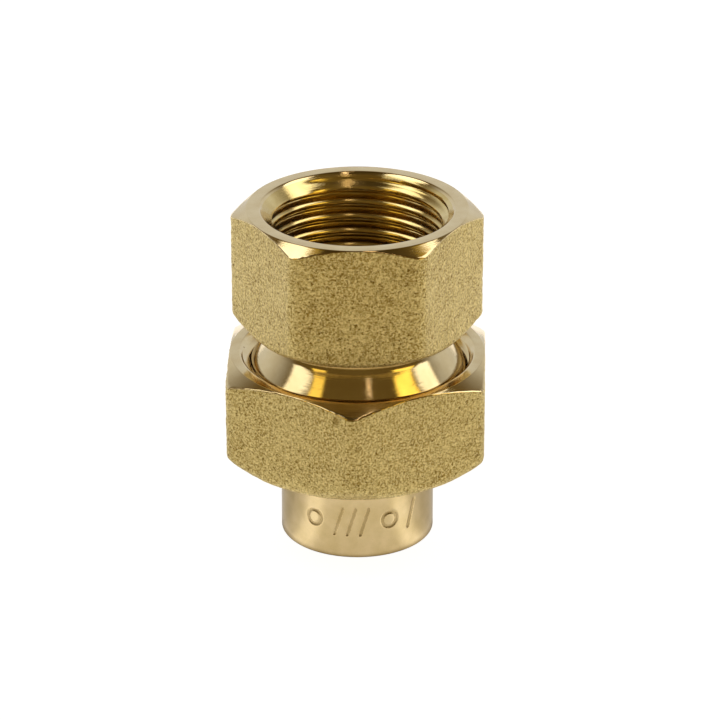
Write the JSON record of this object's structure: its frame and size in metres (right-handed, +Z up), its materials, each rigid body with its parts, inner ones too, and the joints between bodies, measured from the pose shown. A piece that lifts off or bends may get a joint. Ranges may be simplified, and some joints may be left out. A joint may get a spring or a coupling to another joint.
{
  "type": "pipe union",
  "caption": "Straight brass pipe union: a hexagonal body with a threaded pipe socket, a plain solder tail and the loose hexagonal nut that pulls them together on a flat washer.",
  "frame": {"origin": "centre of the tail's open end face, where the union stands on a surface", "axes": "+Z up the pipe axis towards the threaded socket, -Y out of the body flat that faces the front, +X to the right seen from the front"},
  "size_m": [0.0296, 0.0332, 0.0397],
  "materials": {
    "tail_brass": "turned and polished, with a soft sheen",
    "washer_fibre": "matt red-brown pressed fibre",
    "nut_brass": "rough forged flats, bright turned chamfer and mouth",
    "body_brass": "rough forged flats, bright turned ends, neck and threads"
  },
  "bodies": {
    "tail": {"solder_tail": "tail_brass", "sealing_washer": "washer_fibre"},
    "nut": {"union_nut": "nut_brass"},
    "body": {"threaded_body": "body_brass"}
  },
  "joints": [
    {"name": "nut_turn", "type": "hinge", "parent": "tail", "child": "nut", "pos_m": [0, 0, 0.0163], "axis": [0, 0, -1], "range_deg": [0, 1050]},
    {"name": "body_lift", "type": "slide", "parent": "tail", "child": "body", "axis": [0, 0, 1], "range_m": [0, 0.0053]}
  ],
  "couplings": [
    {"joint": "body_lift", "follows": "nut_turn", "m_per_rad": 0.00028875}
  ]
}
